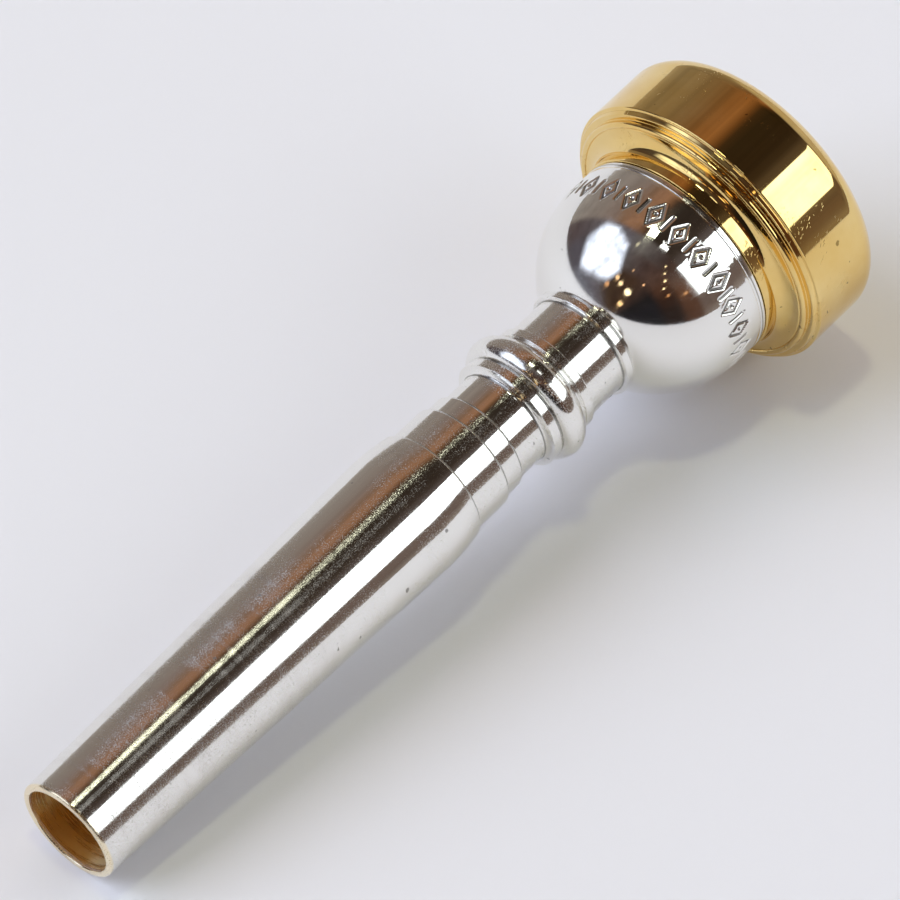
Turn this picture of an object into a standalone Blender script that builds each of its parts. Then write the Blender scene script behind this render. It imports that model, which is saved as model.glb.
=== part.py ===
"""Trumpet-type brass mouthpiece with a gold-plated screw rim.

Run with: blender --background --python part.py, or from Blender's text editor.

Two turned brass pieces share one turning axis, which lies along world X. The rim faces +X,
the shank's open end faces -X, and the origin is at mid-length on the axis.

- cup_and_shank: silver-plated body, with the bowl, throat and backbore bored through it and
  a plain spigot (the male thread's envelope) standing up inside the rim.
- screw_rim: gold-plated ring, with the socket (the female thread's envelope) that screws
  over the spigot, a coved skirt outside and the rounded rim that meets the lips.

Stations are distances along the turning axis from the shank's open end.
"""

import math

import bpy

MM = 0.001

# ---- Driving dimensions, in metres ---------------------------------------------------------

OVERALL_LENGTH = 87.0 * MM
SEGMENTS = 48                       # facets round the turned pieces

# Shank: a 1:20 taper that fits a trumpet's receiver, measured from its small end.
SHANK_END_DIAMETER = 9.77 * MM
SHANK_TAPER = 0.05                  # growth of the diameter per unit of length
SHANK_END_WALL = 0.635 * MM         # metal left round the bore at the open end
SHANK_EDGE_ROUND = 0.12 * MM        # rounding of the outer edge at the open end
SHOULDER_LENGTH = 3.9 * MM          # gently curved run-in from the widest point to the first step
SHOULDER_DROP = 0.36 * MM           # radius lost over that run-in

# Three stepped cylinders behind the shoulder, each a little smaller than the last.
STEP_LENGTHS = (3.95 * MM, 2.05 * MM, 3.05 * MM)
STEP_DROP = 0.32 * MM               # radius lost at each step

# Ring turning between the steps and the cup.
FOOT_DIAMETER = 10.8 * MM
FOOT_FILLET = 0.5 * MM
FOOT_LENGTH = 0.9 * MM
BEAD_DIAMETER = 12.5 * MM
BEAD_WIDTH = 2.6 * MM
BEAD_GROOVE = 0.2 * MM              # plain strip between the foot and the bead
COLLAR_STRIP = 0.6 * MM             # plain strip between the bead and the collar
COLLAR_DIAMETER = 10.5 * MM
COLLAR_LENGTH = 0.8 * MM
NECK_DIAMETER = 9.8 * MM
NECK_LENGTH = 3.8 * MM
NECK_RING_DIAMETER = 10.7 * MM
NECK_RING_LENGTH = 0.7 * MM
NECK_RING_GROOVE = 0.25 * MM

# Cup: a near-spherical bulb outside, a bowl inside, and a spigot that the rim screws over.
BULB_LENGTH = 11.05 * MM            # from the neck ring's groove to the seat of the rim
BULB_START_DIAMETER = 10.3 * MM
BULB_CROWN_TO_SEAT = 2.45 * MM      # the bulb's widest point lies this far below the seat
BULB_EDGE_CHAMFER = 0.2 * MM
BOWL_MOUTH_DIAMETER = 15.6 * MM     # bowl's diameter at the top of the spigot
BOWL_DEPTH = 6.6 * MM               # from the top of the spigot to the throat's entry
SPIGOT_WALL = 1.35 * MM
SPIGOT_LENGTH = 5.55 * MM
SPIGOT_CHAMFER = 0.25 * MM

# Bore.
THROAT_DIAMETER = 3.66 * MM
THROAT_ENTRY_ROUND = 0.8 * MM
THROAT_LENGTH = 2.6 * MM
BACKBORE_BELLY = 0.75               # exponent of the backbore's opening; 1 is a plain cone

# Screw rim.
RIM_DIAMETER = 27.0 * MM
RIM_BAND_HEIGHT = 8.45 * MM         # from the skirt's lower corner to the rim's crest
RIM_CREST_DIAMETER = 20.4 * MM      # circle on which the rim's highest points lie
RIM_OUTER_ROUND = 2.5 * MM          # height of the rounding from the band to the crest
RIM_BITE_DIAMETER = 16.9 * MM       # inside diameter at the bite
RIM_BITE_ROUND = 1.3 * MM           # height of the rounding from the bite to the crest
SKIRT_WALL = 0.8 * MM
SKIRT_COLLAR_LENGTH = 1.0 * MM      # plain gold collar next to the seam
SKIRT_COVE_DEPTH = 1.15 * MM        # axial run of the concave sweep above that collar
SKIRT_BEAD_ROUND = 0.3 * MM         # radius of the fine bead above the cove
SKIRT_BEAD_INSET = 0.2 * MM         # the bead's centre lies this far above the cove
SKIRT_LAND_INSET = 0.3 * MM         # the land lies this far above the bead's centre
SKIRT_LAND_WIDTH = 0.55 * MM        # flat land between the fine bead and the lip
SKIRT_LIP_HEIGHT = 0.45 * MM        # the lip stands this far below the band's corner
SKIRT_LIP_WIDTH = 0.4 * MM          # radial step from the lip out to the band
CORNER_ROUND = 0.3 * MM

# Fits.
THREAD_CLEARANCE = 0.3 * MM         # radial, between the two thread envelopes
SEAT_CLEARANCE = 0.3 * MM           # axial, at the outer seat and at the spigot's top
SKIRT_PROUD = 0.1 * MM              # the gold collar stands this far proud of the bulb

# ---- Sizes that follow from them -----------------------------------------------------------

BOWL_MOUTH_RADIUS = BOWL_MOUTH_DIAMETER / 2
SPIGOT_RADIUS = BOWL_MOUTH_RADIUS + SPIGOT_WALL
SOCKET_RADIUS = SPIGOT_RADIUS + THREAD_CLEARANCE
SKIRT_COLLAR_RADIUS = SOCKET_RADIUS + SKIRT_WALL
BULB_RADIUS = SKIRT_COLLAR_RADIUS - SKIRT_PROUD
THROAT_RADIUS = THROAT_DIAMETER / 2
RIM_RADIUS = RIM_DIAMETER / 2

# Stations of the rim, counted down from the crest.
CORNER_AT = OVERALL_LENGTH - RIM_BAND_HEIGHT
SKIRT_FLANK = SKIRT_COVE_DEPTH + SKIRT_BEAD_INSET + SKIRT_LAND_INSET + SKIRT_LIP_HEIGHT
SKIRT_AT = CORNER_AT - SKIRT_FLANK - SKIRT_COLLAR_LENGTH
SEAT_AT = SKIRT_AT - SEAT_CLEARANCE
SPIGOT_TOP_AT = SEAT_AT + SPIGOT_LENGTH
SOCKET_TOP_AT = SPIGOT_TOP_AT + SEAT_CLEARANCE

# Stations of the body, counted down from the seat.
BULB_AT = SEAT_AT - BULB_LENGTH
NECK_RING_AT = BULB_AT - NECK_RING_GROOVE - NECK_RING_LENGTH
NECK_AT = NECK_RING_AT - NECK_RING_GROOVE - NECK_LENGTH
COLLAR_AT = NECK_AT - NECK_RING_GROOVE - COLLAR_LENGTH
BEAD_AT = COLLAR_AT - COLLAR_STRIP - BEAD_WIDTH
FOOT_AT = BEAD_AT - BEAD_GROOVE - FOOT_LENGTH
STEPS_END_AT = FOOT_AT - FOOT_FILLET
STEPS_AT = STEPS_END_AT - sum(STEP_LENGTHS)
SHANK_WIDEST_AT = STEPS_AT - SHOULDER_LENGTH
THROAT_TOP_AT = SPIGOT_TOP_AT - BOWL_DEPTH - THROAT_ENTRY_ROUND
BACKBORE_TOP_AT = THROAT_TOP_AT - THROAT_LENGTH


def arc(centre, size, start, end, count):
    """Points (station, radius) on an elliptic arc. Angles are in degrees; 0 points along
    the axis to the rim and 90 points outward. Both ends are included."""
    points = []
    for i in range(count + 1):
        angle = math.radians(start + (end - start) * i / count)
        points.append((centre[0] + size[0] * math.cos(angle), centre[1] + size[1] * math.sin(angle)))
    return points


def shank_outline():
    """Outer side of the shank and its steps, from the foot ring down to the open end."""
    end_radius = SHANK_END_DIAMETER / 2
    widest = end_radius + SHANK_TAPER * SHANK_WIDEST_AT / 2
    shoulder_end = widest - SHOULDER_DROP
    radius = shoulder_end - len(STEP_LENGTHS) * STEP_DROP
    station = STEPS_END_AT
    points = [(station, radius)]
    for length in reversed(STEP_LENGTHS):
        station -= length
        points += [(station, radius), (station, radius + STEP_DROP)]
        radius += STEP_DROP
    chords = 6
    for i in range(1, chords + 1):
        share = 1 - i / chords
        points.append((SHANK_WIDEST_AT + SHOULDER_LENGTH * share, widest - SHOULDER_DROP * share ** 2))
    open_end = arc((SHANK_EDGE_ROUND, end_radius - SHANK_EDGE_ROUND), (SHANK_EDGE_ROUND,) * 2, 90, 180, 2)
    return points + open_end


def ring_outline():
    """Outer side of the neck, bead and foot, from the bulb down to the stepped cylinders."""
    ring, neck = NECK_RING_DIAMETER / 2, NECK_DIAMETER / 2
    collar, foot = COLLAR_DIAMETER / 2, FOOT_DIAMETER / 2
    bead_foot = min(collar, foot)
    bead_middle = BEAD_AT + BEAD_WIDTH / 2
    last_step = shank_outline()[0][1]
    points = [(BULB_AT, ring - NECK_RING_GROOVE)]
    points += [(NECK_RING_AT + NECK_RING_LENGTH, ring), (NECK_RING_AT, ring)]
    points += [(NECK_RING_AT - NECK_RING_GROOVE, neck), (NECK_AT, neck)]
    points += [(COLLAR_AT + COLLAR_LENGTH, collar), (COLLAR_AT, collar)]
    bead_size = (BEAD_WIDTH / 2, BEAD_DIAMETER / 2 - bead_foot)
    points += arc((bead_middle, bead_foot), bead_size, 0, 180, 10)
    points += [(FOOT_AT + FOOT_LENGTH, foot), (FOOT_AT, foot)]
    fillet = arc((FOOT_AT - FOOT_FILLET, foot), (FOOT_FILLET, last_step - foot), 0, 90, 3)
    return points + fillet[1:-1]


def bulb_outline():
    """Outer side of the cup, from the seat of the rim down to the neck ring."""
    crown = SEAT_AT - BULB_CROWN_TO_SEAT
    below = crown - BULB_AT
    start_radius = BULB_START_DIAMETER / 2
    # A circle of the bulb's radius about the axis; its axial size is stretched so that it
    # meets the neck at the neck's own radius.
    reach = below / math.sqrt(1 - (start_radius / BULB_RADIUS) ** 2)
    start_angle = 180 - math.degrees(math.asin(start_radius / BULB_RADIUS))
    edge = [(SEAT_AT, BULB_RADIUS - BULB_EDGE_CHAMFER), (SEAT_AT - BULB_EDGE_CHAMFER, BULB_RADIUS)]
    return edge + arc((crown, 0.0), (reach, BULB_RADIUS), 90, start_angle, 10)


def bore_outline():
    """Inner side of the body, from the shank's open end up through the bowl to the spigot."""
    end_radius = SHANK_END_DIAMETER / 2 - SHANK_END_WALL
    points = []
    runs = 9
    for i in range(runs + 1):
        station = BACKBORE_TOP_AT * i / runs
        opened = (1 - station / BACKBORE_TOP_AT) ** BACKBORE_BELLY
        points.append((station, THROAT_RADIUS + (end_radius - THROAT_RADIUS) * opened))
    entry = (THROAT_TOP_AT, THROAT_RADIUS + THROAT_ENTRY_ROUND)
    points += arc(entry, (THROAT_ENTRY_ROUND,) * 2, -90, 0, 3)
    bowl_size = (BOWL_DEPTH, BOWL_MOUTH_RADIUS)
    first = math.degrees(math.asin((THROAT_RADIUS + THROAT_ENTRY_ROUND) / BOWL_MOUTH_RADIUS))
    points += arc((SPIGOT_TOP_AT, 0.0), bowl_size, 180 - first, 90, 10)[1:]
    return points


def body_outline():
    """Closed outline of cup_and_shank, running down the outside and back up the bore."""
    spigot = [
        (SPIGOT_TOP_AT, SPIGOT_RADIUS - SPIGOT_CHAMFER),
        (SPIGOT_TOP_AT - SPIGOT_CHAMFER, SPIGOT_RADIUS),
        (SEAT_AT, SPIGOT_RADIUS),
    ]
    return spigot + bulb_outline() + ring_outline() + shank_outline() + bore_outline()


def rim_outline():
    """Closed outline of screw_rim, running down the outside and back up the inside."""
    crest = RIM_CREST_DIAMETER / 2
    bite = RIM_BITE_DIAMETER / 2
    round_at = OVERALL_LENGTH - RIM_OUTER_ROUND
    lip = RIM_RADIUS - SKIRT_LIP_WIDTH
    land = lip - SKIRT_LAND_WIDTH
    land_at = CORNER_AT - SKIRT_LIP_HEIGHT
    bead = (land_at - SKIRT_LAND_INSET, land - SKIRT_BEAD_ROUND)
    flank_at = SKIRT_AT + SKIRT_COLLAR_LENGTH
    cove_width = bead[1] - SKIRT_BEAD_ROUND - SKIRT_COLLAR_RADIUS
    outside = arc((round_at, crest), (RIM_OUTER_ROUND, RIM_RADIUS - crest), 0, 90, 8)
    corner = (CORNER_AT + CORNER_ROUND, RIM_RADIUS - CORNER_ROUND)
    outside += arc(corner, (CORNER_ROUND,) * 2, 90, 180, 2)
    outside += [(CORNER_AT, lip), (land_at, lip), (land_at, land)]
    outside += arc(bead, (SKIRT_BEAD_ROUND,) * 2, 90, 270, 4)
    cove = (flank_at, SKIRT_COLLAR_RADIUS + cove_width)
    outside += arc(cove, (SKIRT_COVE_DEPTH, cove_width), 0, -90, 5)
    outside += [(SKIRT_AT, SKIRT_COLLAR_RADIUS)]
    inside = [
        (SKIRT_AT, SOCKET_RADIUS),
        (SOCKET_TOP_AT, SOCKET_RADIUS),
        (SOCKET_TOP_AT, BOWL_MOUTH_RADIUS),
        (OVERALL_LENGTH - RIM_BITE_ROUND, bite),
    ]
    inside += arc((OVERALL_LENGTH - RIM_BITE_ROUND, crest), (RIM_BITE_ROUND, crest - bite), -90, 0, 5)[1:-1]
    return outside + inside


def metal(name, colour, roughness):
    """A metallic Principled material."""
    material = bpy.data.materials.new(name)
    material.use_nodes = True
    shader = material.node_tree.nodes["Principled BSDF"]
    shader.inputs["Base Color"].default_value = (*colour, 1.0)
    shader.inputs["Metallic"].default_value = 1.0
    shader.inputs["Roughness"].default_value = roughness
    return material


def turned_piece(name, outline, datum, material, collection, axis):
    """One closed turned solid. The outline's stations become heights above the datum
    station, the Screw modifier turns it round its own Z, and the axis empty lays it down."""
    vertices = [(radius, 0.0, station - datum) for station, radius in outline]
    edges = [(i, (i + 1) % len(vertices)) for i in range(len(vertices))]
    mesh = bpy.data.meshes.new(name)
    mesh.from_pydata(vertices, edges, [])
    piece = bpy.data.objects.new(name, mesh)
    collection.objects.link(piece)
    piece.data.materials.append(material)
    turning = piece.modifiers.new("turning", "SCREW")
    turning.axis = "Z"
    turning.steps = SEGMENTS
    turning.render_steps = SEGMENTS
    turning.use_merge_vertices = True
    turning.merge_threshold = 0.01 * MM
    turning.use_smooth_shade = True
    piece.parent = axis
    piece.location = (0.0, 0.0, datum - OVERALL_LENGTH / 2)
    return piece


def clear_scene():
    """Removes whatever the file held."""
    for thing in list(bpy.data.objects):
        bpy.data.objects.remove(thing, do_unlink=True)


def build():
    """Builds both pieces on one axis that lies along world X."""
    clear_scene()
    collection = bpy.data.collections.new("brass_mouthpiece")
    bpy.context.scene.collection.children.link(collection)
    axis = bpy.data.objects.new("turning_axis", None)
    axis.rotation_euler = (0.0, math.pi / 2, 0.0)
    collection.objects.link(axis)
    silver = metal("silver_plate", (0.88, 0.87, 0.85), 0.12)
    gold = metal("gold_plate", (0.93, 0.70, 0.32), 0.10)
    turned_piece("cup_and_shank", body_outline(), 0.0, silver, collection, axis)
    turned_piece("screw_rim", rim_outline(), SEAT_AT, gold, collection, axis)
    bpy.context.view_layer.update()


build()
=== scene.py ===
"""Looks of a brass mouthpiece with a gold-plated screw rim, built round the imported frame.

The turning axis lies along X, with the rim's crest at +X and the shank's open end at -X.
Outlines are in millimetres: the station is the distance from the shank's open end, and the
radius is measured from the turning axis. Meshes are made in metres.
"""

import logging
import math
from dataclasses import dataclass, field
from enum import Enum
from typing import Any, Optional, Union

import bpy
import numpy as np
from mathutils import Matrix, Vector


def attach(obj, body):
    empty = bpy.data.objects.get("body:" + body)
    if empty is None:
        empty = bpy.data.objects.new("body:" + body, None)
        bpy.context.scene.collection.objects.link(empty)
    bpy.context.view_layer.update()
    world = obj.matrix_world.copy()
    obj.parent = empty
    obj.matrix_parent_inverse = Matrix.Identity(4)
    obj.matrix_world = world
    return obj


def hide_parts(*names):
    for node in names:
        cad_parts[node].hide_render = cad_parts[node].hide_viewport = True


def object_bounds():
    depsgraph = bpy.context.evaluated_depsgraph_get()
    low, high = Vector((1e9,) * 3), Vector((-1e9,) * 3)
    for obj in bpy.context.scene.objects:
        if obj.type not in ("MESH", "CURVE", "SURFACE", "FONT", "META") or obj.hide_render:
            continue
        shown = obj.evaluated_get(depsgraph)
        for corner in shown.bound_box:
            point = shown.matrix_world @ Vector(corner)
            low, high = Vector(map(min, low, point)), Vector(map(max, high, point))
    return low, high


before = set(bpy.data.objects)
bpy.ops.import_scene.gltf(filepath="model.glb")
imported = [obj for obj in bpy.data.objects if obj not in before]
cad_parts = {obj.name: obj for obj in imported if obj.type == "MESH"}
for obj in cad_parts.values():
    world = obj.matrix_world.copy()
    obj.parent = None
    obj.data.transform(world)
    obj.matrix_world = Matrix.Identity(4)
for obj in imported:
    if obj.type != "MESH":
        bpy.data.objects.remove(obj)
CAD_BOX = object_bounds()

Socket = bpy.types.NodeSocket
Value = Union[Socket, float, tuple]

LOG = logging.getLogger("mouthpiece")
MM = 0.001
BAKE_MAP = "OFBake"
CARVED = "carved"
CARVED_FULL = 0.15
OPEN_END_X = CAD_BOX[0].x
REST_TILT = math.radians(6.24)
FLOOR_ROLL = math.radians(3.0)


class Finish(Enum):
    """The surface finishes, in the order of a piece's material slots."""

    PLATE = 0
    BRASS = 1


# ---- Node trees ------------------------------------------------------------------------------


class NodeBench:
    """Makes and links shader nodes in one node tree."""

    def __init__(self, tree: bpy.types.NodeTree) -> None:
        """Empties the tree.

        Args:
            tree: The node tree to work in.
        """
        self.tree = tree
        tree.nodes.clear()

    def add(self, kind: str, inputs: Optional[dict] = None, **settings: Any) -> bpy.types.Node:
        """Adds one node.

        Args:
            kind: The node type without its "ShaderNode" prefix.
            inputs: Socket name or number to a value, or to the output socket that feeds it.
            **settings: Node properties to set.

        Returns:
            The new node.
        """
        node = self.tree.nodes.new("ShaderNode" + kind)
        for name, value in settings.items():
            setattr(node, name, value)
        for name, value in (inputs or {}).items():
            if isinstance(value, Socket):
                self.tree.links.new(value, node.inputs[name])
            else:
                node.inputs[name].default_value = value
        return node

    def math(self, operation: str, *values: Value) -> Socket:
        """Adds a Math node and returns its output."""
        node = self.add("Math", dict(enumerate(values)), operation=operation)
        return node.outputs[0]

    def vector(self, operation: str, *values: Value) -> bpy.types.Node:
        """Adds a Vector Math node and returns it."""
        return self.add("VectorMath", dict(enumerate(values)), operation=operation)

    def between(self, value: Value, low: float, high: float, out_low: float = 0.0,
                out_high: float = 1.0, smooth: bool = True) -> Socket:
        """Maps a value from one range to another.

        Args:
            value: The socket to map.
            low: Value that gives out_low.
            high: Value that gives out_high.
            out_low: Result at and below low.
            out_high: Result at and above high.
            smooth: Whether the change eases in and out.

        Returns:
            The mapped value's socket.
        """
        kind = "SMOOTHSTEP" if smooth else "LINEAR"
        ends = {1: low, 2: high, 3: out_low, 4: out_high}
        node = self.add("MapRange", {0: value, **ends}, interpolation_type=kind)
        return node.outputs[0]

    def noise(self, vector: Socket, scale: float, detail: float = 3.0, roughness: float = 0.5,
              distortion: float = 0.0) -> Socket:
        """Adds a noise texture and returns its value, between 0 and 1."""
        inputs = {"Vector": vector, "Scale": scale, "Detail": detail}
        inputs |= {"Roughness": roughness, "Distortion": distortion}
        return self.add("TexNoise", inputs).outputs[0]

    def mix(self, share: Value, first: Value, second: Value) -> Socket:
        """Mixes two colours, the second by its share, and returns the colour."""
        node = self.add("Mix", {0: share, 6: first, 7: second}, data_type="RGBA")
        return node.outputs[2]

    def bands(self, value: Socket, stops: list[tuple[float, tuple]]) -> Socket:
        """Adds a colour ramp.

        Args:
            value: The socket that picks the place on the ramp.
            stops: Place and linear RGB colour of each stop, in order.

        Returns:
            The colour's socket.
        """
        node = self.add("ValToRGB", {0: value})
        ramp = node.color_ramp
        ramp.interpolation = "LINEAR"
        while len(ramp.elements) < len(stops):
            ramp.elements.new(1.0)
        for element, (place, colour) in zip(ramp.elements, stops):
            element.position = place
            element.color = (*colour, 1.0)
        return node.outputs[0]


def linear(red: float, green: float, blue: float) -> tuple[float, float, float]:
    """Turns display values from 0 to 255 into linear light."""
    shares = (red / 255, green / 255, blue / 255)
    return tuple(c / 12.92 if c <= 0.04045 else ((c + 0.055) / 1.055) ** 2.4 for c in shares)


class TurnedCoordinates:
    """Coordinates of a turned piece for its patterns: along the axis and round it."""

    def __init__(self, bench: NodeBench) -> None:
        """Reads the piece's own coordinates.

        Args:
            bench: The node tree the coordinates are made in.
        """
        self.bench = bench
        self.point = bench.add("TexCoord").outputs["Object"]
        split = bench.add("SeparateXYZ", {0: self.point})
        self.along = split.outputs["X"]
        square = bench.math("MULTIPLY_ADD", split.outputs["Y"], split.outputs["Y"],
                            bench.math("MULTIPLY", split.outputs["Z"], split.outputs["Z"]))
        self.radius = bench.math("SQRT", square)
        self.side = bench.math("DIVIDE", split.outputs["Y"], self.radius)
        self.height = bench.math("DIVIDE", split.outputs["Z"], self.radius)
        self.station = bench.math("SUBTRACT", self.along, OPEN_END_X)

    def lathe(self, along: float, round_it: float) -> Socket:
        """Coordinates whose patterns run round the axis.

        Args:
            along: Pattern repeats for each millimetre along the axis.
            round_it: How many repeats fit in about a sixth of a turn.

        Returns:
            The vector's socket.
        """
        bench = self.bench
        parts = {
            0: bench.math("MULTIPLY", self.along, along / MM),
            1: bench.math("MULTIPLY", self.side, round_it),
            2: bench.math("MULTIPLY", self.height, round_it),
        }
        return bench.add("CombineXYZ", parts).outputs[0]


# ---- Finishes --------------------------------------------------------------------------------


@dataclass(frozen=True)
class SilverPlate:
    """Polished silver plate: worn dull on the shank, speckled, with painted shade in its grooves and darker
    inside its engraving.
    """

    name: str = "silver_plate_polished"
    bright: tuple = (0.92, 0.91, 0.87)
    dull: tuple = (0.86, 0.84, 0.80)
    lip: tuple = (0.93, 0.82, 0.60)
    # Dark colour of the pits, also used for the painted shade in the grooves and the darkening inside the
    # engraving.
    speck: tuple = (0.10, 0.09, 0.08)
    polish: float = 0.05
    worn_to: float = 27.0
    speckled_to: float = 64.0
    grooves: tuple = (44.25, 48.2, 50.25, 53.4, 54.75, 57.62, 59.0, 63.0, 63.98, 75.0)
    groove_width: float = 0.11
    # Most share of painted shade in the corners of the grooves.
    groove_shade_share: float = 0.62
    worn_haze: float = 0.07
    streak_haze: float = 0.08
    patch_haze: float = 0.03
    spot_haze: float = 0.30
    # Extra roughness where the painted shade, the pits and the engraving's darkening lie.
    pits_and_shade_haze: float = 0.35
    line_depth: float = 0.0006
    grain_depth: float = 0.0012

    def material(self) -> bpy.types.Material:
        """Builds the plate's node material."""
        material = bpy.data.materials.new(self.name)
        material.use_nodes = True
        bench = NodeBench(material.node_tree)
        turned = TurnedCoordinates(bench)
        point = turned.point
        cloud = bench.noise(point, 160.0, 4.0, 0.6)
        specks = bench.noise(point, 5200.0, 2.0, 0.6)
        worn = self._worn(bench, turned)
        streaks = bench.noise(turned.lathe(1.3, 1.3), 1.0, 2.0, 0.5)
        scratched = bench.math("MULTIPLY", bench.between(streaks, 0.46, 0.72), worn)
        spots = bench.between(bench.noise(point, 9800.0, 2.0, 0.6), 0.50, 0.66)
        speckled = bench.between(turned.station, (self.speckled_to + 0.5) * MM,
                                 (self.speckled_to - 0.5) * MM, 0.16, 1.0)
        patches = bench.math("MULTIPLY", speckled, bench.between(cloud, 0.36, 0.58, 0.25, 1.0))
        spots = bench.math("MULTIPLY", spots, patches)
        pits = bench.between(bench.noise(point, 1000.0, 2.0, 0.4), 0.75, 0.78)
        # Painted shade in the grooves together with the pits, then darker still inside the engraving.
        pits_and_shade = bench.math("MAXIMUM", self._painted_groove_shade(bench, turned), bench.math("MULTIPLY", pits, 0.6))
        carved = bench.add("Attribute", attribute_name=CARVED).outputs["Fac"]
        pits_and_shade = bench.math("MAXIMUM", pits_and_shade, bench.between(carved, 0.25, 0.9, 0.0, 0.88))
        colour = bench.mix(bench.math("MULTIPLY", worn, bench.between(streaks, 0.3, 0.7, 0.35, 0.9)),
                           (*self.bright, 1.0), (*self.dull, 1.0))
        colour = bench.mix(bench.math("MULTIPLY", spots, 0.22), colour, (*self.dull, 1.0))
        # The painted shade, the pits and the engraving's darkening take the dark speck colour.
        colour = bench.mix(pits_and_shade, colour, (*self.speck, 1.0))
        colour = bench.mix(bench.between(turned.station, 0.42 * MM, 0.18 * MM), colour, (*self.lip, 1.0))
        base = bench.between(cloud, 0.3, 0.7, self.polish * 0.7, self.polish * 1.5)
        rough = bench.math("MULTIPLY_ADD", worn, self.worn_haze, base)
        rough = bench.math("MULTIPLY_ADD", scratched, self.streak_haze, rough)
        rough = bench.math("MULTIPLY_ADD", patches, self.patch_haze, rough)
        rough = bench.math("MULTIPLY_ADD", spots, self.spot_haze, rough)
        rough = bench.math("MULTIPLY_ADD", pits_and_shade, self.pits_and_shade_haze, rough)
        lines = bench.noise(turned.lathe(5.0, 1.2), 1.0, 2.0)
        fine = bench.add("Bump", {"Strength": 1.0, "Distance": self.line_depth * MM, "Height": lines})
        grain = bench.add("Bump", {"Strength": 1.0, "Distance": self.grain_depth * MM,
                                   "Height": specks, "Normal": fine.outputs[0]})
        round_it = bench.add("Tangent", direction_type="RADIAL", axis="X").outputs[0]
        inputs = {"Base Color": colour, "Metallic": 1.0, "Roughness": rough, "Normal": grain.outputs[0],
                  "Anisotropic": 1.0, "Anisotropic Rotation": 0.25, "Tangent": round_it}
        shader = bench.add("BsdfPrincipled", inputs)
        bench.add("OutputMaterial", {0: shader.outputs[0]})
        return material

    def _worn(self, bench: NodeBench, turned: TurnedCoordinates) -> Socket:
        """Share of wear: full where the shank sits in its receiver, with a ragged end."""
        ragged = bench.noise(turned.lathe(0.2, 2.0), 1.0, 4.0)
        edge = bench.math("MULTIPLY_ADD", bench.math("SUBTRACT", ragged, 0.5), 3.0 * MM, turned.station)
        return bench.between(edge, (self.worn_to + 1.2) * MM, (self.worn_to - 1.2) * MM)

    def _painted_groove_shade(self, bench: NodeBench, turned: TurnedCoordinates) -> Socket:
        """Share of painted shade in the corners of the grooves, with a ragged width."""
        ragged = bench.noise(turned.lathe(0.8, 4.0), 1.0, 3.0, 0.6)
        width = bench.between(ragged, 0.3, 0.7, self.groove_width * 0.75 * MM, self.groove_width * 1.2 * MM)
        total = None
        for groove in self.grooves:
            away = bench.math("ABSOLUTE", bench.math("SUBTRACT", turned.station, groove * MM))
            near = bench.math("SUBTRACT", 1.0, bench.math("DIVIDE", away, width))
            total = near if total is None else bench.math("MAXIMUM", total, near)
        return bench.between(total, 0.0, 0.8, 0.0, self.groove_shade_share)


@dataclass(frozen=True)
class RawBrass:
    """Bare brass of the bore, with the rings that the reamer left and painted shade on one side."""

    name: str = "raw_brass_bore"
    bright: tuple = (1.0, 0.84, 0.48)
    dull: tuple = (0.98, 0.70, 0.30)
    # Colour and angle of the painted shade: a dark brown band on one side of the bore.
    painted_shade_brown: tuple = (0.60, 0.30, 0.07)
    shaded_side_at: float = -62.0
    lip: tuple = (0.96, 0.86, 0.75)
    ring_depth: float = 0.020

    def material(self) -> bpy.types.Material:
        """Builds the brass's node material."""
        material = bpy.data.materials.new(self.name)
        material.use_nodes = True
        bench = NodeBench(material.node_tree)
        turned = TurnedCoordinates(bench)
        rings = bench.noise(turned.lathe(3.0, 0.5), 1.0, 4.0, 0.7)
        stain = bench.noise(turned.lathe(0.4, 2.0), 1.0, 3.0)
        lip = bench.between(turned.station, 0.50 * MM, 0.22 * MM)
        # Painted shade: a dark brown band on one side of the bore, its edge made ragged by the stain noise.
        middle = math.radians(self.shaded_side_at)
        facing = bench.math("MULTIPLY_ADD", turned.height, math.sin(middle),
                            bench.math("MULTIPLY", turned.side, math.cos(middle)))
        facing = bench.math("MULTIPLY_ADD", bench.math("SUBTRACT", stain, 0.5), 0.25, facing)
        colour = bench.mix(bench.between(stain, 0.3, 0.7), (*self.bright, 1.0), (*self.dull, 1.0))
        colour = bench.mix(bench.between(facing, 0.55, 0.92), colour, (*self.painted_shade_brown, 1.0))
        colour = bench.mix(lip, colour, (*self.lip, 1.0))
        rough = bench.between(rings, 0.3, 0.7, 0.16, 0.40)
        metal = bench.between(rings, 0.3, 0.7, 0.85, 0.60)
        bump = bench.add("Bump", {"Strength": 1.0, "Distance": self.ring_depth * MM, "Height": rings})
        inputs = {"Base Color": colour, "Metallic": metal, "Roughness": rough, "Normal": bump.outputs[0]}
        shader = bench.add("BsdfPrincipled", inputs)
        bench.add("OutputMaterial", {0: shader.outputs[0]})
        return material


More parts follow.
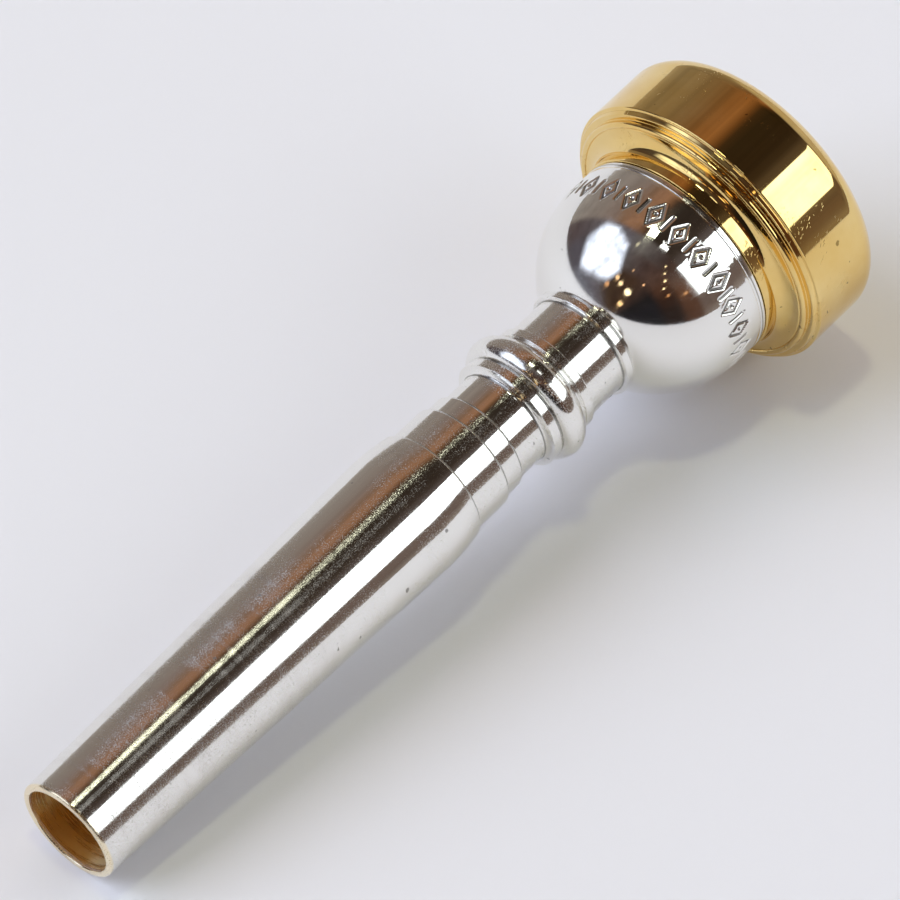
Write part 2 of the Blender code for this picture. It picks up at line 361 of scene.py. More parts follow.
@dataclass(frozen=True)
class GoldPlate:
    """Mirror-polished gold plate with pits, hairlines and faint turning lines."""

    name: str = "gold_plate_polished"
    bright: tuple = (0.90, 0.67, 0.28)
    deep: tuple = (0.84, 0.58, 0.20)
    speck: tuple = (0.20, 0.12, 0.03)
    polish: float = 0.04
    nick_haze: float = 0.38
    nick_depth: float = 0.008
    line_depth: float = 0.0004

    def material(self) -> bpy.types.Material:
        """Builds the gold's node material."""
        material = bpy.data.materials.new(self.name)
        material.use_nodes = True
        bench = NodeBench(material.node_tree)
        turned = TurnedCoordinates(bench)
        cloud = bench.noise(turned.point, 140.0, 4.0, 0.6)
        pits = bench.noise(turned.point, 1100.0, 2.0, 0.4)
        marks = bench.between(pits, 0.745, 0.775)
        nicks = self._nicks(bench, turned)
        colour = bench.mix(bench.between(cloud, 0.35, 0.7), (*self.bright, 1.0), (*self.deep, 1.0))
        colour = bench.mix(bench.math("MULTIPLY", marks, 0.7), colour, (*self.speck, 1.0))
        rough = bench.between(cloud, 0.3, 0.7, self.polish * 0.7, self.polish * 1.6)
        rough = bench.math("MULTIPLY_ADD", nicks, self.nick_haze, rough)
        lines = bench.noise(turned.lathe(6.0, 0.8), 1.0, 2.0)
        fine = bench.add("Bump", {"Strength": 1.0, "Distance": self.line_depth * MM, "Height": lines})
        scored = bench.add("Bump", {"Strength": 1.0, "Distance": self.nick_depth * MM,
                                    "Height": nicks, "Normal": fine.outputs[0]})
        inputs = {"Base Color": colour, "Metallic": 1.0, "Roughness": rough, "Normal": scored.outputs[0]}
        shader = bench.add("BsdfPrincipled", inputs)
        bench.add("OutputMaterial", {0: shader.outputs[0]})
        return material

    def _nicks(self, bench: NodeBench, turned: TurnedCoordinates) -> Socket:
        """Short slanting hairline scratches in clusters."""
        where = bench.between(bench.noise(turned.point, 210.0, 3.0, 0.6), 0.50, 0.62)
        slanting = bench.vector("DOT_PRODUCT", turned.point, (0.78, 0.10, 0.62)).outputs["Value"]
        over = bench.vector("DOT_PRODUCT", turned.point, (0.62, 0.0, -0.78)).outputs["Value"]
        aside = bench.vector("DOT_PRODUCT", turned.point, (0.06, 0.99, -0.10)).outputs["Value"]
        place = bench.add("CombineXYZ", {0: bench.math("MULTIPLY", slanting, 0.11), 1: over, 2: aside})
        hairs = bench.noise(place.outputs[0], 7000.0, 1.0, 0.4)
        return bench.math("MULTIPLY", bench.between(hairs, 0.64, 0.72), where)


# ---- Turned shapes ---------------------------------------------------------------------------


class Relief:
    """Fine shape that a turned surface carries, such as a thread or an engraved border."""

    step: float = 0.1
    density: int = 1

    def offset(self, angles: np.ndarray, station: float, radius: float) -> np.ndarray:
        """Radial offsets in millimetres at the angles of one ring."""
        raise NotImplementedError


@dataclass
class Thread(Relief):
    """A right-hand screw thread cut into a cylinder.

    The offset is towards the metal: inwards for a spigot and outwards for a socket.
    """

    start: float
    end: float
    pitch: float = 0.907
    depth: float = 0.5
    inward: bool = True
    flank: float = 2.6
    flat: float = 0.18
    step: float = 0.057
    density: int = 1

    def offset(self, angles: np.ndarray, station: float, radius: float) -> np.ndarray:
        """Radial offsets in millimetres at the angles of one ring."""
        phase = np.mod(station / self.pitch - angles / (2 * math.pi), 1.0)
        ramp = np.clip(np.abs(phase - 0.5) * self.flank - self.flat, 0.0, 1.0)
        cut = 0.5 - 0.5 * np.cos(math.pi * ramp)
        run_out = min(station - self.start, self.end - station) / self.pitch
        fade = min(max(run_out, 0.0), 1.0)
        return cut * self.depth * fade * (-1.0 if self.inward else 1.0)


@dataclass
class EngravedBorder(Relief):
    """A plain engraved border of lozenges, dots and ticks round the cup."""

    start: float = 70.55
    end: float = 73.75
    repeats: int = 24
    lozenge_width: float = 1.25
    lozenge_height: float = 2.2
    tick_height: float = 1.5
    dot_radius: float = 0.06
    stroke: float = 0.19
    depth: float = CARVED_FULL
    burr: float = 0.010
    burr_at: float = 1.35
    burr_width: float = 0.45
    step: float = 0.08
    density: int = 5

    def offset(self, angles: np.ndarray, station: float, radius: float) -> np.ndarray:
        """Radial offsets in millimetres at the angles of one ring."""
        pitch = 2 * math.pi / self.repeats
        local = (np.mod(angles, pitch) - pitch / 2) * radius
        across = abs(station - (self.start + self.end) / 2)
        half = (self.lozenge_width / 2, self.lozenge_height / 2)
        share = np.abs(local) / half[0] + across / half[1]
        lozenge = np.abs(share - 1.0) / math.hypot(1 / half[0], 1 / half[1])
        dot = np.hypot(local, across) - self.dot_radius
        aside = np.abs(np.abs(local) - pitch * radius / 2)
        past = max(across - self.tick_height / 2, 0.0)
        tick = np.hypot(aside, past)
        near = np.minimum(np.minimum(lozenge, dot), tick)
        cut = np.clip(1.0 - np.maximum(near, 0.0) / self.stroke, 0.0, 1.0)
        groove = cut * cut * (3 - 2 * cut)
        ridge = np.exp(-(((near / self.stroke - self.burr_at) / self.burr_width) ** 2))
        return self.burr * ridge - self.depth * groove


@dataclass(frozen=True)
class Corner:
    """A corner of an outline, in millimetres, and what the surface after it is like."""

    station: float
    radius: float
    rounding: float
    finish: Finish
    relief: Optional[Relief]


@dataclass(frozen=True)
class Ring:
    """One ring of vertices of a turned mesh and what the strip after it is like."""

    station: float
    radius: float
    finish: Finish
    relief: Optional[Relief]


class Outline:
    """A closed outline in millimetres, gathered corner by corner."""

    shortest: float = 1e-6
    longest: float = 1.4
    guard: float = 0.04
    degrees_a_chord: float = 15.0
    most_of_a_side: float = 0.45

    def __init__(self) -> None:
        """Starts an empty outline in plate finish."""
        self.corners: list[Corner] = []
        self.finish = Finish.PLATE
        self.relief: Optional[Relief] = None

    def to(self, station: float, radius: float, rounding: float = 0.0) -> None:
        """Adds a corner.

        Args:
            station: Distance from the shank's open end.
            radius: Distance from the turning axis.
            rounding: Radius that the corner is rounded to.
        """
        self.corners.append(Corner(station, radius, rounding, self.finish, self.relief))

    def arc(self, centre: tuple[float, float], size: tuple[float, float], start: float, end: float,
            count: int) -> None:
        """Adds an elliptic arc with both its ends.

        Args:
            centre: Station and radius of the centre.
            size: Half-axes along the station and the radius.
            start: First angle in degrees, from the rim's direction towards outward.
            end: Last angle in degrees.
            count: Number of chords.
        """
        for i in range(count + 1):
            angle = math.radians(start + (end - start) * i / count)
            self.to(centre[0] + size[0] * math.cos(angle), centre[1] + size[1] * math.sin(angle))

    def rounded(self) -> list[Corner]:
        """Returns the outline's points with every corner rounded."""
        points: list[Corner] = []
        count = len(self.corners)
        for i, corner in enumerate(self.corners):
            if corner.rounding <= 0.0:
                points.append(corner)
                continue
            here = Vector((corner.station, corner.radius))
            before = self.corners[i - 1]
            after = self.corners[(i + 1) % count]
            back = Vector((before.station, before.radius)) - here
            ahead = Vector((after.station, after.radius)) - here
            half = back.angle(ahead) / 2
            most = self.most_of_a_side * min(back.length, ahead.length)
            reach = min(corner.rounding / math.tan(half), most)
            radius = reach * math.tan(half)
            back.normalize()
            ahead.normalize()
            centre = here + (back + ahead).normalized() * (radius / math.sin(half))
            first = here + back * reach - centre
            turn = math.pi - 2 * half
            if first.x * ahead.y - first.y * ahead.x < 0:
                turn = -turn
            chords = max(2, math.ceil(abs(math.degrees(turn)) / self.degrees_a_chord))
            for k in range(chords + 1):
                angle = turn * k / chords
                arm = Vector((first.x * math.cos(angle) - first.y * math.sin(angle),
                              first.x * math.sin(angle) + first.y * math.cos(angle)))
                spot = centre + arm
                side = before if k < chords else corner
                points.append(Corner(spot.x, spot.y, 0.0, side.finish, side.relief))
        return points

    def rings(self) -> list[Ring]:
        """Cuts the outline into rings, with a guard ring near each end of a long strip.

        Returns:
            The rings in order.
        """
        points = self.rounded()
        rings: list[Ring] = []
        for i, here in enumerate(points):
            there = points[(i + 1) % len(points)]
            length = math.hypot(there.station - here.station, there.radius - here.radius)
            if length < self.shortest:
                continue
            if here.relief is not None:
                pieces = max(1, round(length / here.relief.step))
                shares = [k / pieces for k in range(pieces)]
            elif length > 6 * self.guard:
                inner = length - 2 * self.guard
                pieces = max(1, math.ceil(inner / self.longest))
                shares = [0.0] + [(self.guard + inner * k / pieces) / length for k in range(pieces + 1)]
            else:
                shares = [0.0]
            for share in shares:
                station = here.station + (there.station - here.station) * share
                radius = here.radius + (there.radius - here.radius) * share
                rings.append(Ring(station, radius, here.finish, here.relief))
        return rings


class TurnedMesh:
    """Turns rings into a closed mesh with its own map for baking."""

    margin: float = 0.004
    slack: float = 1.002

    def __init__(self, name: str, rings: list[Ring], segments: int, columns: int = 4) -> None:
        """Keeps what the mesh is made from.

        Args:
            name: Name of the object and its mesh.
            rings: The closed outline's rings.
            segments: Facets round a plain ring.
            columns: Columns that the bake map is laid out in.
        """
        self.name = name
        self.rings = rings
        self.segments = segments
        self.columns = columns
        self.points: list[np.ndarray] = []
        self.carved: list[np.ndarray] = []
        self.starts: list[int] = []
        self.counts: list[int] = []

    def build(self) -> bpy.types.Object:
        """Makes the object and links it to the scene."""
        self._place_rings()
        faces, uvs, finishes = self._strips()
        mesh = bpy.data.meshes.new(self.name)
        mesh.from_pydata(np.concatenate(self.points).tolist(), [], faces)
        layer = mesh.uv_layers.new(name=BAKE_MAP)
        layer.uv.foreach_set("vector", np.asarray(uvs, np.float32).ravel())
        carved = mesh.attributes.new(CARVED, "FLOAT", "POINT")
        carved.data.foreach_set("value", np.concatenate(self.carved).astype(np.float32))
        mesh.polygons.foreach_set("material_index", np.asarray(finishes, np.int32))
        mesh.polygons.foreach_set("use_smooth", np.ones(len(faces), bool))
        mesh.update()
        mesh.validate()
        piece = bpy.data.objects.new(self.name, mesh)
        bpy.context.scene.collection.objects.link(piece)
        return piece

    def _place_rings(self) -> None:
        """Places every ring's vertices, denser where both neighbouring strips carry a relief."""
        total = 0
        for i, ring in enumerate(self.rings):
            before = self.rings[i - 1].relief
            carried = before if before is ring.relief else None
            count = self.segments * (carried.density if carried else 1)
            angles = np.arange(count) * (2 * math.pi / count)
            radii = np.full(count, ring.radius)
            cut = np.zeros(count)
            if carried:
                cut = carried.offset(angles, ring.station, ring.radius)
                radii = radii + cut
            x = np.full(count, OPEN_END_X + ring.station * MM)
            spots = np.stack([x, radii * np.cos(angles) * MM, radii * np.sin(angles) * MM], axis=1)
            self.points.append(spots)
            self.carved.append(np.clip(-cut / CARVED_FULL, 0.0, 1.0))
            self.starts.append(total)
            self.counts.append(count)
            total += count

    def _strips(self) -> tuple[list, list, list]:
        """Joins neighbouring rings.

        Returns:
            The faces' vertices, the corners' map places and the faces' finishes.
        """
        spots = [(ring.station, ring.radius) for ring in self.rings]
        lengths = [math.dist(spots[i], spots[(i + 1) % len(spots)]) for i in range(len(spots))]
        column = sum(lengths) / self.columns * self.slack
        area = sum(a[0] * b[1] - b[0] * a[1] for a, b in zip(spots, spots[1:] + spots[:1]))
        flip = area > 0
        faces: list[tuple] = []
        uvs: list[tuple] = []
        finishes: list[int] = []
        at_column, top = 0, 0.0
        for i, ring in enumerate(self.rings):
            if top + lengths[i] > column:
                at_column += 1
                top = 0.0
            low, high = top / column, (top + lengths[i]) / column
            top += lengths[i]
            j = (i + 1) % len(self.rings)
            for corners in self._strip(self.counts[i], self.counts[j]):
                if flip:
                    corners = corners[::-1]
                face = []
                for side, k in corners:
                    count = self.counts[i] if side == 0 else self.counts[j]
                    start = self.starts[i] if side == 0 else self.starts[j]
                    face.append(start + k % count)
                    across = at_column + self.margin + (1 - 2 * self.margin) * k / count
                    up = low if side == 0 else high
                    uvs.append((across / self.columns, self.margin / 2 + (1 - self.margin) * up))
                faces.append(tuple(face))
                finishes.append(ring.finish.value)
        return faces, uvs, finishes

    @staticmethod
    def _strip(first: int, second: int) -> list[tuple]:
        """Faces between two rings as (side, number) corners, for equal or multiple counts."""
        if first == second:
            return [((0, k), (0, k + 1), (1, k + 1), (1, k)) for k in range(first)]
        few, many = (0, 1) if first < second else (1, 0)
        coarse, fine = min(first, second), max(first, second)
        ratio = fine // coarse
        made = []
        for k in range(coarse):
            base = k * ratio
            middle = ratio // 2
            for m in range(ratio):
                apex = k if m < middle else k + 1
                made.append(((few, apex), (many, base + m + 1), (many, base + m)))
            made.append(((few, k), (few, k + 1), (many, base + middle)))
        return made if few == 0 else [corners[::-1] for corners in made]


# ---- The two pieces --------------------------------------------------------------------------


@dataclass
class CupAndShank:
    """The silver-plated body: shank, ring turning, cup, threaded spigot and bore."""

    segments: int = 110
    open_radius: float = 4.885
    bore_radius: float = 4.25
    taper: float = 0.025
    widest_at: float = 40.3
    shoulder: tuple = (3.9, 0.36)
    steps_at: tuple = (44.2, 48.15, 50.2, 53.25)
    step_drop: float = 0.32
    foot: tuple = (53.75, 54.65, 5.4)
    bead: tuple = (54.85, 57.45, 5.25, 6.25)
    collar: tuple = (58.05, 58.85, 5.25)
    neck: tuple = (59.1, 62.9, 4.9)
    neck_ring: tuple = (63.15, 63.85, 5.35)
    bulb: tuple = (64.1, 5.15, 72.7, 10.15)
    seat_at: float = 75.15
    lip_at: float = 75.40
    spigot: tuple = (80.7, 9.15)
    bowl: tuple = (6.6, 7.8)
    throat: tuple = (70.7, 73.3, 1.83)
    entry_round: float = 0.8
    backbore_from: float = 0.35
    belly: float = 0.75
    border_chords: int = 14
    shoulder_chords: int = 16
    backbore_chords: int = 30
    border: EngravedBorder = field(default_factory=EngravedBorder)
    name: str = "silver_cup_and_shank"
    piece: Optional[bpy.types.Object] = None

    def build(self) -> None:
        """Builds the body's mesh, which stands for the CAD body."""
        outline = Outline()
        self._spigot(outline)
        self._cup(outline)
        self._ring_turning(outline)
        self._shank(outline)
        self._bore(outline)
        self.piece = TurnedMesh(self.name, outline.rings(), self.segments).build()
        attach(self.piece, "body")
        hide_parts("cup_and_shank")

    def dress(self) -> None:
        """Gives the body its silver plate outside and raw brass inside the bore."""
        self.piece.data.materials.append(SilverPlate().material())
        self.piece.data.materials.append(RawBrass().material())

    def _spigot(self, outline: Outline) -> None:
        """Top of the spigot and its thread, down to the seat."""
        top, radius = self.spigot
        outline.to(top, radius - 0.3, 0.05)
        outline.to(top - 0.3, radius, 0.05)
        outline.relief = Thread(start=self.seat_at + 0.5, end=top - 0.35)
        outline.to(top - 0.36, radius)
        outline.relief = None
        outline.to(self.seat_at + 0.5, radius)
        outline.to(self.seat_at, radius, 0.08)
        outline.to(self.seat_at, self.bulb[3] - 0.35, 0.05)

    def _cup(self, outline: Outline) -> None:
        """The cup's outside: a thin lip at the seam, then the bulb with its border."""
        start, start_radius, crown, crown_radius = self.bulb
        lip = crown_radius
        outline.to(self.lip_at, lip - 0.35, 0.05)
        outline.to(self.lip_at, lip, 0.12)
        outline.to(self.seat_at - 0.30, lip, 0.06)
        outline.to(self.seat_at - 0.36, lip - 0.07, 0.03)
        outline.to(self.seat_at - 0.44, lip - 0.03, 0.04)
        reach = (crown - start) / math.sqrt(1 - (start_radius / crown_radius) ** 2)
        last = 180 - math.degrees(math.asin(start_radius / crown_radius))
        stops = (self.border.end, self.border.start)
        outline.to(self.seat_at - 0.75, crown_radius)
        outline.to(self.border.end, self._bulb_radius(self.border.end, reach))
        outline.relief = self.border
        for i in range(self.border_chords):
            station = stops[0] + (stops[1] - stops[0]) * i / self.border_chords
            outline.to(station, self._bulb_radius(station, reach))
        outline.relief = None
        first = 180 - math.degrees(math.asin(self._bulb_radius(stops[1], reach) / crown_radius))
        outline.arc((crown, 0.0), (reach, crown_radius), first, last, 40)

    def _bulb_radius(self, station: float, reach: float) -> float:
        """Radius of the bulb's outside at a station."""
        crown, crown_radius = self.bulb[2:]
        if station >= crown:
            return crown_radius
        return crown_radius * math.sqrt(1 - ((crown - station) / reach) ** 2)

    def _ring_turning(self, outline: Outline) -> None:
        """The rings and grooves between the cup and the steps."""
        low, high, ring = self.neck_ring
        outline.to(high + 0.12, ring - 0.32, 0.05)
        outline.to(high, ring, 0.10)
        outline.to(low, ring, 0.10)
        outline.to(low - 0.1, self.neck[2] - 0.06, 0.05)
        outline.to(low - 0.25, self.neck[2], 0.08)
        outline.to(self.neck[0], self.neck[2], 0.08)
        low, high, collar = self.collar
        outline.to(high + 0.05, collar, 0.10)
        outline.to(low, collar, 0.10)
        outline.to(low - 0.05, collar - 0.2, 0.05)
        start, end, foot, crest = self.bead
        outline.to(end + 0.1, foot - 0.1, 0.06)
        outline.arc(((start + end) / 2, foot), ((end - start) / 2, crest - foot), 0, 180, 32)
        low, high, foot = self.foot
        outline.to(high + 0.06, self.bead[2] - 0.1, 0.05)
        outline.to(high, foot, 0.10)
        outline.to(low, foot, 0.10)
        last = self._step_radius(3)
        outline.arc((low - 0.5, foot), (0.5, last - foot), 8, 90, 8)

    def _step_radius(self, number: int) -> float:
        """Radius of a step, counted from 1 behind the shoulder."""
        widest = self.open_radius + self.taper * self.widest_at
        return widest - self.shoulder[1] - number * self.step_drop

    def _shank(self, outline: Outline) -> None:
        """The three steps, the shoulder and the taper down to the open end."""
        stations = self.steps_at
        for number in (3, 2, 1):
            radius = self._step_radius(number)
            outline.to(stations[number - 1], radius, 0.09)
            outline.to(stations[number - 1], radius + self.step_drop, 0.14)
        length, drop = self.shoulder
        widest = self._step_radius(0) + drop
        for i in range(1, self.shoulder_chords + 1):
            share = 1 - i / self.shoulder_chords
            outline.to(self.widest_at + length * share, widest - drop * share ** 2)
        outline.to(0.0, self.open_radius, 0.30)

    def _bore(self, outline: Outline) -> None:
        """The open end's wall, the backbore, the throat and the bowl."""
        outline.finish = Finish.BRASS
        outline.to(0.0, self.bore_radius, 0.24)
        end, entry_at, throat = self.throat
        begin = self.backbore_from
        for i in range(self.backbore_chords + 1):
            station = begin + (end - begin) * i / self.backbore_chords
            opened = (1 - station / end) ** self.belly
            outline.to(station, throat + (self.bore_radius - throat) * opened)
        outline.finish = Finish.PLATE
        round_it = self.entry_round
        outline.arc((entry_at, throat + round_it), (round_it, round_it), -90, 0, 8)
        depth, mouth = self.bowl
        first = math.degrees(math.asin((throat + round_it) / mouth))
        outline.arc((self.spigot[0], 0.0), (depth, mouth), 180 - first - 2, 92, 36)
        outline.to(self.spigot[0], mouth, 0.06)


@dataclass
class ScrewRim:
    """The gold-plated rim: band, crest, bite, coved skirt and threaded socket."""

    segments: int = 192
    crest: tuple = (87.0, 10.2)
    band: tuple = (78.55, 84.5, 13.5)
    lip: tuple = (78.1, 13.1)
    land: float = 12.55
    bead: tuple = (77.8, 12.25, 0.3)
    cove: tuple = (76.45, 10.25, 77.6, 11.95)
    skirt_at: float = 75.45
    socket: tuple = (81.0, 9.45)
    bite: tuple = (85.7, 8.45)
    bowl_radius: float = 7.8
    name: str = "gold_screw_rim"
    piece: Optional[bpy.types.Object] = None

    def build(self) -> None:
        """Builds the rim's mesh, which stands for the CAD rim."""
        outline = Outline()
        crest_at, crest = self.crest
        corner_at, round_at, radius = self.band
        outline.arc((round_at, crest), (crest_at - round_at, radius - crest), 0, 90, 30)
        outline.to(corner_at, radius, 0.16)
        lip_at, lip = self.lip
        outline.to(corner_at, lip, 0.06)
        outline.to(lip_at, lip, 0.10)
        outline.to(lip_at, self.land, 0.06)
        centre, bead, size = self.bead
        outline.arc((centre, bead), (size, size), 70, 260, 14)
        start, collar, end, wide = self.cove
        outline.arc((start, wide), (end - start, wide - collar), 0, -90, 24)
        outline.to(self.skirt_at, collar, 0.10)
        top, socket = self.socket
        outline.to(self.skirt_at, socket + 0.1, 0.05)
        outline.to(self.skirt_at + 0.35, socket)
        outline.relief = Thread(start=self.skirt_at + 0.4, end=top - 0.4, depth=0.4, inward=False)
        outline.to(self.skirt_at + 0.36, socket)
        outline.relief = None
        outline.to(top - 0.4, socket)
        outline.to(top, socket, 0.08)
        outline.to(top, self.bowl_radius, 0.06)
        bite_at, bite = self.bite
        outline.arc((bite_at, crest), (crest_at - bite_at, crest - bite), -90, 0, 20)
        outline.corners.pop()
        self.piece = TurnedMesh(self.name, outline.rings(), self.segments, 3).build()
        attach(self.piece, "rim")
        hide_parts("screw_rim")

    def dress(self) -> None:
        """Gives the rim its gold plate."""
        self.piece.data.materials.append(GoldPlate().material())


# ---- The studio ------------------------------------------------------------------------------


@dataclass(frozen=True)
class Softbox:
    """A bright panel far off, given by the directions of its corners.

    The fill is what its light on matt surfaces is multiplied by.
    """

    corners: tuple
    light: tuple
    edge: float
    mottle: float
    fill: float


@dataclass(frozen=True)
class CeilingLamp:
    """A square lamp on the ceiling; one kind lights the paper, the other only glows in the metal."""

    name: str
    along: float
    degrees: float
    size: float
    power: float
    colour: tuple
    glows: bool


def direction(along: float, degrees: float) -> tuple[float, float, float]:
    """Direction with a share along the turning axis, turned round it from +Y towards +Z."""
    out = math.sqrt(1 - along * along)
    angle = math.radians(degrees)
    return (along, out * math.cos(angle), out * math.sin(angle))


WALLS_AHEAD = ((0, (164, 158, 154)), (5, (146, 138, 131)), (12, (138, 129, 122)), (34, (130, 118, 110)),
               (46, (130, 112, 102)), (56, (124, 96, 76)), (64, (142, 105, 80)), (72, (146, 106, 78)),
               (79, (108, 76, 52)), (85, (62, 48, 37)), (91, (46, 38, 31)), (108, (50, 40, 33)),
               (117, (60, 50, 43)), (124, (84, 74, 70)), (161, (116, 104, 96)), (168, (104, 89, 82)),
               (176, (106, 90, 82)), (184, (130, 118, 110)))
WALLS_NEAR = ((0, (92, 80, 78)), (15, (80, 69, 70)), (45, (92, 86, 90)), (75, (90, 84, 88)),
              (90, (110, 104, 100)), (105, (76, 67, 65)), (120, (66, 50, 44)), (135, (90, 69, 58)),
              (150, (98, 65, 45)), (165, (86, 59, 45)), (190, (86, 62, 50)))
WALLS_MIDDLE = ((0, (64, 57, 62)), (15, (82, 77, 84)), (60, (84, 80, 86)), (75, (82, 79, 82)),
                (90, (86, 76, 74)), (105, (70, 55, 51)), (120, (80, 60, 52)), (135, (74, 50, 38)),
                (150, (52, 35, 27)), (165, (42, 33, 30)), (190, (42, 33, 30)))
WALLS_LOW = ((0, (92, 90, 99)), (15, (98, 98, 108)), (45, (92, 84, 88)), (60, (72, 60, 54)),
             (75, (68, 52, 40)), (90, (60, 44, 35)), (105, (70, 51, 39)), (120, (62, 47, 41)),
             (135, (36, 33, 33)), (150, (34, 32, 35)), (190, (35, 35, 37)))
WALLS_BEHIND = ((WALLS_NEAR, -0.02, -0.12), (WALLS_MIDDLE, -0.28, -0.42), (WALLS_LOW, -0.58, -0.72))
FAR_WALL = (linear(188, 181, 174), 0.80, 0.92)
PANELS = (
    Softbox((direction(-0.10, 128.0), direction(-0.03, 161.5), direction(0.80, 161.5),
             direction(0.80, 128.0)),
            (2.35, 2.50, 2.60), 0.012, 0.25, 0.25),
    Softbox((direction(-0.15, 46.0), direction(-0.15, 60.0), direction(-0.33, 76.0), direction(-0.70, 81.0),
             direction(-0.82, 64.0), direction(-0.66, 24.0), direction(-0.36, 32.0)),
            (1.65, 1.80, 2.15), 0.15, 0.5, 4.6),
)
LAMPS = (
    (-0.23, 120.0, 0.015, (2.6, 1.9, 1.0)),
    (-0.315, 124.5, 0.016, (2.6, 1.9, 1.0)),
    (-0.39, 130.5, 0.018, (2.6, 1.9, 1.0)),
    (-0.475, 136.0, 0.015, (2.6, 1.9, 1.0)),
    (-0.475, 145.0, 0.022, (1.0, 0.45, 0.16)),
    (-0.22, 152.5, 0.026, (1.0, 0.48, 0.18)),
    (-0.24, 85.0, 0.024, (1.0, 0.9, 0.6)),
    (-0.77, 82.5, 0.034, (1.6, 1.0, 0.5)),
    (-0.81, 90.5, 0.036, (1.8, 1.3, 0.7)),
    (-0.84, 108.0, 0.055, (2.2, 1.8, 1.1)),
    (-0.945, 110.0, 0.040, (1.7, 1.1, 0.5)),
    (-0.86, 67.0, 0.036, (1.0, 0.5, 0.2)),
    (-0.60, 97.0, 0.014, (1.4, 0.8, 0.4)),
    (-0.66, 118.0, 0.016, (1.5, 0.8, 0.4)),
)
CEILING = (
    CeilingLamp("ceiling_lamp", 0.057, 90.4, 0.15, 4.1, (1.0, 0.99, 0.55), False),
    CeilingLamp("ceiling_glow", 0.09, 89.3, 0.28, 2.6, (0.98, 1.0, 0.76), True),
    CeilingLamp("ceiling_glow_far", 0.04, 106.0, 0.30, 0.55, (0.96, 0.98, 0.95), True),
)


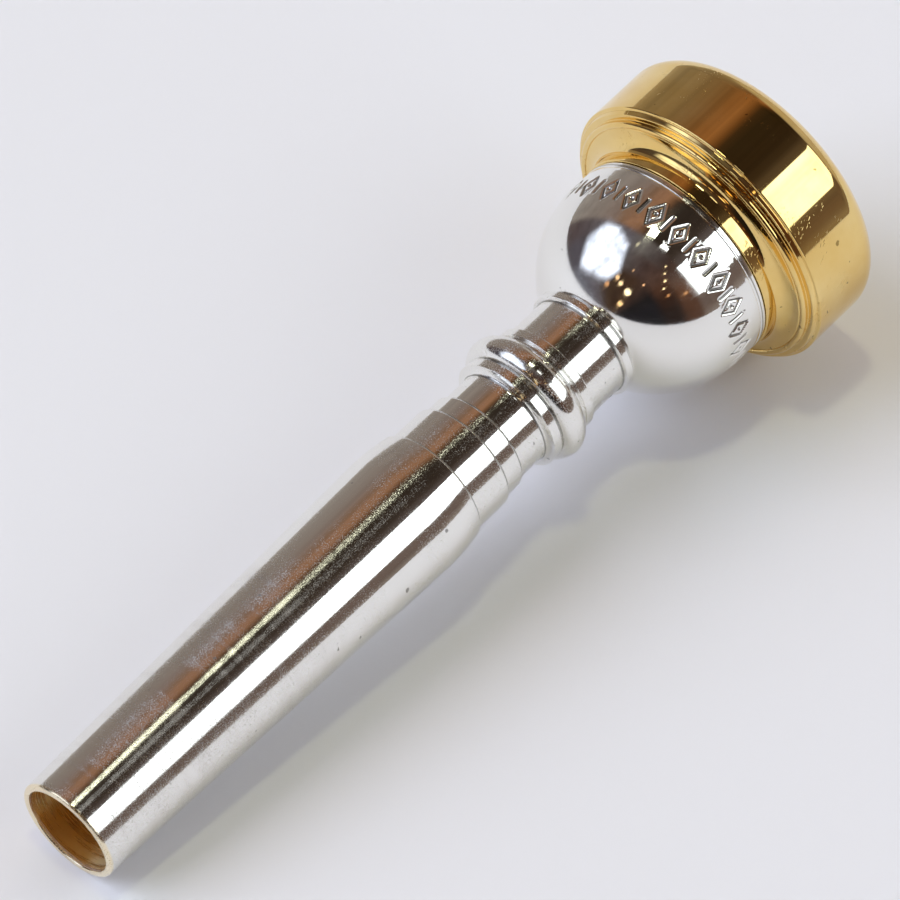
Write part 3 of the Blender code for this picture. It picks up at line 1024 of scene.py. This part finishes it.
@dataclass
class Studio:
    """The floor, the room's soft lights and the camera."""

    floor_size: float = 6.0
    floor_at: tuple = (-0.0435, 0.0, -0.004885)
    ceiling: float = 2.0
    drift: float = math.radians(6.0)
    backdrop: tuple = (0.75, 0.75, 0.80)
    fill: tuple = (3.2, 3.95, 4.35)
    paper: tuple = (0.81, 0.81, 0.85)
    azimuth: float = 317.33
    elevation: float = 53.21
    roll: float = -6.97
    distance: float = 0.5826
    aim: tuple = (0.00360, 0.00025, 0.00196)
    lens: float = 280.0

    def build(self) -> None:
        """Builds the floor, the room and the camera."""
        self._floor()
        self._room()
        self._ceiling()
        self._camera()
        bpy.context.scene.view_settings.view_transform = "Standard"

    def _floor(self) -> None:
        """A plain pale sheet that the shank's end and the rim rest on."""
        half = self.floor_size / 2
        mesh = bpy.data.meshes.new("floor")
        mesh.from_pydata([(-half, -half, 0), (half, -half, 0), (half, half, 0), (-half, half, 0)], [],
                         [(0, 1, 2, 3)])
        floor = bpy.data.objects.new("floor", mesh)
        bpy.context.scene.collection.objects.link(floor)
        roll = Matrix.Rotation(FLOOR_ROLL, 4, "X")
        tilt = Matrix.Rotation(REST_TILT, 4, "Y")
        floor.matrix_world = roll @ Matrix.Translation(self.floor_at) @ tilt
        material = bpy.data.materials.new("pale_paper")
        material.use_nodes = True
        bench = NodeBench(material.node_tree)
        point = bench.add("TexCoord").outputs["Object"]
        tooth = bench.noise(point, 2500.0, 3.0)
        bump = bench.add("Bump", {"Strength": 0.3, "Distance": 0.02 * MM, "Height": tooth})
        inputs = {"Base Color": (*self.paper, 1.0), "Roughness": 0.7, "Normal": bump.outputs[0]}
        shader = bench.add("BsdfPrincipled", inputs)
        bench.add("OutputMaterial", {0: shader.outputs[0]})
        mesh.materials.append(material)

    def _room(self) -> None:
        """The room round the floor: dim warm walls, two large soft panels and small lamps."""
        scene = bpy.context.scene
        world = bpy.data.worlds.new("room")
        scene.world = world
        world.use_nodes = True
        bench = NodeBench(world.node_tree)
        way = bench.add("TexCoord").outputs["Generated"]
        split = bench.add("SeparateXYZ", {0: way})
        turn = bench.math("ARCTAN2", split.outputs["Z"], split.outputs["Y"])
        under = bench.math("LESS_THAN", turn, -math.pi / 2)
        turn = bench.math("ADD", turn, bench.math("MULTIPLY", under, math.tau))
        drift = bench.math("SUBTRACT", bench.noise(way, 3.0, 3.0, 0.6), 0.5)
        turn = bench.math("ADD", turn, bench.math("MULTIPLY", drift, self.drift))
        share = bench.between(turn, math.radians(-90.0), math.radians(270.0), smooth=False)
        total = bench.bands(share, self._stops(WALLS_AHEAD))
        for walls, near, far in WALLS_BEHIND:
            colour = bench.bands(share, self._stops(walls))
            total = bench.mix(bench.between(split.outputs["X"], near, far), total, colour)
        colour, near, far = FAR_WALL
        total = bench.mix(bench.between(split.outputs["X"], near, far), total, (*colour, 1.0))
        tone = bench.between(bench.noise(way, 8.0, 4.0, 0.6), 0.3, 0.7, 0.86, 1.14)
        total = bench.add("VectorMath", {0: total, "Scale": tone}, operation="SCALE").outputs[0]
        path = bench.add("LightPath").outputs
        fill = bench.vector("MULTIPLY", total, self.fill).outputs[0]
        total = bench.mix(path["Is Diffuse Ray"], total, fill)
        for panel in PANELS:
            total = self._lit(bench, way, total, path["Is Diffuse Ray"], panel)
        for along, degrees, spread, light in LAMPS:
            near = bench.vector("DOT_PRODUCT", way, direction(along, degrees)).outputs["Value"]
            mask = bench.between(near, math.cos(spread * 1.3), math.cos(spread * 0.7))
            total = bench.mix(mask, total, (*light, 1.0))
        total = bench.mix(path["Is Camera Ray"], total, (*self.backdrop, 1.0))
        background = bench.add("Background", {"Color": total, "Strength": 1.0})
        bench.add("OutputWorld", {0: background.outputs[0]})

    @staticmethod
    def _stops(walls: tuple) -> list[tuple[float, tuple]]:
        """Ramp stops from wall colours given by their angle round the turning axis."""
        return [((degrees + 90) / 360, linear(*colour)) for degrees, colour in walls]

    def _ceiling(self) -> None:
        """The ceiling lamps: the main light with its shadow, and the glow seen in worn metal."""
        for lamp in CEILING:
            data = bpy.data.lights.new(lamp.name, "AREA")
            data.size = lamp.size
            data.energy = lamp.power
            data.color = lamp.colour
            light = bpy.data.objects.new(lamp.name, data)
            bpy.context.scene.collection.objects.link(light)
            towards = Vector(direction(lamp.along, lamp.degrees))
            facing = towards.to_track_quat("Z", "Y").to_matrix().to_4x4()
            light.matrix_world = Matrix.Translation(towards * self.ceiling) @ facing
            light.visible_glossy = lamp.glows
            light.visible_diffuse = not lamp.glows

    @staticmethod
    def _lit(bench: NodeBench, way: Socket, total: Socket, diffuse: Socket, box: Softbox) -> Socket:
        """Adds one softbox to the room's light.

        Args:
            bench: The room's node tree.
            way: Socket of the direction looked in.
            total: Socket of the light so far.
            diffuse: Socket that is 1 for light that falls on a matt surface.
            box: The softbox.

        Returns:
            The socket of the light with the softbox.
        """
        corners = [Vector(corner).normalized() for corner in box.corners]
        middle = sum(corners, Vector())
        inside = None
        for first, second in zip(corners, corners[1:] + corners[:1]):
            wall = first.cross(second).normalized()
            if wall.dot(middle) < 0:
                wall = -wall
            depth = bench.vector("DOT_PRODUCT", way, tuple(wall)).outputs["Value"]
            inside = depth if inside is None else bench.math("MINIMUM", inside, depth)
        mask = bench.between(inside, -box.edge / 2, box.edge / 2)
        cloud = bench.between(bench.noise(way, 6.0, 4.0, 0.55), 0.32, 0.62, 1.0 - box.mottle, 1.0)
        share = bench.math("MULTIPLY", cloud, bench.math("MULTIPLY_ADD", diffuse, box.fill - 1.0, 1.0))
        glass = bench.add("VectorMath", {0: box.light, "Scale": share}, operation="SCALE").outputs[0]
        return bench.mix(mask, total, glass)

    def _camera(self) -> None:
        """The camera, at the angle the object is shown from."""
        data = bpy.data.cameras.new("camera")
        data.lens = self.lens
        data.sensor_width = 36.0
        data.clip_start = 0.01
        data.clip_end = 20.0
        camera = bpy.data.objects.new("camera", data)
        bpy.context.scene.collection.objects.link(camera)
        turn, rise = math.radians(self.azimuth), math.radians(self.elevation)
        back = Vector((math.sin(turn) * math.cos(rise), -math.cos(turn) * math.cos(rise), math.sin(rise)))
        look = (-back).to_track_quat("-Z", "Y")
        spin = Matrix.Rotation(math.radians(self.roll), 4, "Z")
        place = Matrix.Translation(Vector(self.aim) + back * self.distance)
        camera.matrix_world = place @ look.to_matrix().to_4x4() @ spin
        bpy.context.scene.camera = camera


def main() -> None:
    """Builds the pieces in order, then the studio."""
    logging.basicConfig(level=logging.INFO, format="%(name)s: %(message)s")
    for assembly in (CupAndShank(), ScrewRim()):
        assembly.build()
        assembly.dress()
        LOG.info("%s: %d vertices", assembly.name, len(assembly.piece.data.vertices))
    Studio().build()


if __name__ == "__main__":
    main()
